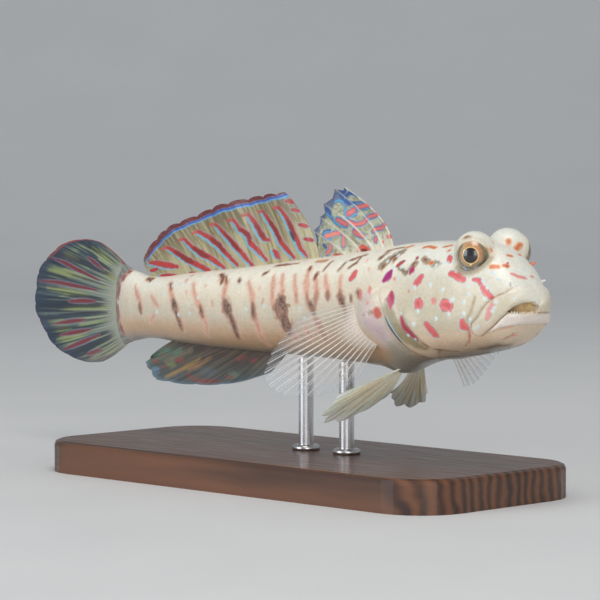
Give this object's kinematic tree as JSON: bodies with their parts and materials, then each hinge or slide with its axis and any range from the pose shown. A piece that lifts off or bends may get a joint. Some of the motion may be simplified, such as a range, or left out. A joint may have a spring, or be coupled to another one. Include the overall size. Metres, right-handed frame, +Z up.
{
  "type": "pink-spotted watchman goby display model",
  "caption": "Life-size model of a pink-spotted watchman goby swimming with its fins spread, held over a flat base by short rods.",
  "frame": {"origin": "middle of the stand base's underside", "axes": "+X the way the fish heads, +Y towards its left side, +Z up"},
  "size_m": [0.1251, 0.0435, 0.0455],
  "materials": {
    "skin": "cream skin with salmon and dark brown markings, moist sheen",
    "eye": "clear gloss over a gold-ringed black pupil",
    "fin": "khaki membrane with dark red bars edged in blue",
    "fin_clear": "clear membrane between white rays",
    "fin_pale": "cream membrane with pale blue edges",
    "stand_wood": "dark stained, satin",
    "stand_steel": "satin"
  },
  "bodies": {
    "root": {"head": "skin", "lower_jaw": "skin", "trunk": "skin", "tail_stalk": "skin", "eye_right": "eye", "eye_left": "eye", "first_dorsal_fin": "fin", "second_dorsal_fin": "fin", "anal_fin": "fin", "caudal_fin": "fin", "pectoral_fin_right": "fin_clear", "pectoral_fin_left": "fin_clear", "pelvic_fin_right": "fin_pale", "pelvic_fin_left": "fin_pale", "stand_base": "stand_wood", "stand_rod_front": "stand_steel", "stand_rod_rear": "stand_steel"}
  },
  "joints": []
}
